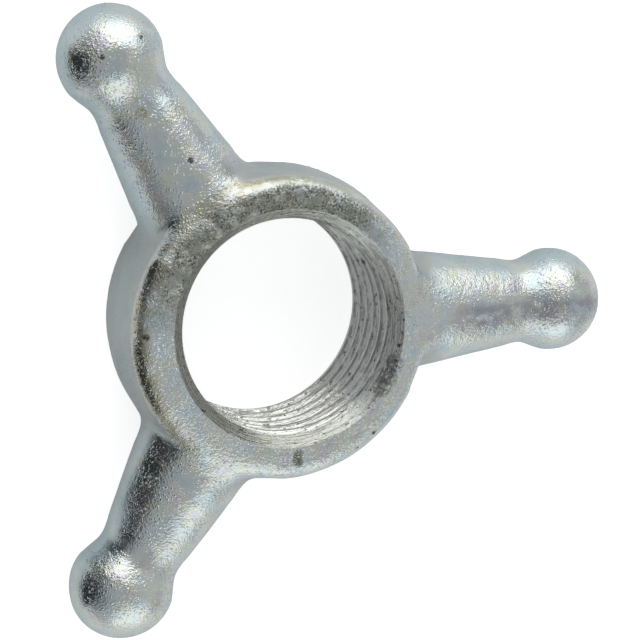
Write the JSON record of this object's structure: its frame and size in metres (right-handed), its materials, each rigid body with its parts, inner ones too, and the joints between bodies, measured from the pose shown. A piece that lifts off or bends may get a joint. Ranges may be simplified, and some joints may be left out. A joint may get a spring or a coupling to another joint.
{
  "type": "three-armed locknut",
  "caption": "Hand-turned locknut: a forged steel collar with a threaded bore and tapered arms that end in balls, for jamming against a screw link's body.",
  "frame": {"origin": "on the bore's axis at the collar's mid-height, in the plane of the arms", "axes": "+Z along the bore, out of the countersunk front face; +X in line with the first arm"},
  "size_m": [0.0865, 0.0962, 0.02],
  "materials": {
    "plated_forging": "bright zinc plate over a rough forging, thread and faces machined"
  },
  "bodies": {
    "root": {"nut_body": "plated_forging"}
  },
  "joints": []
}
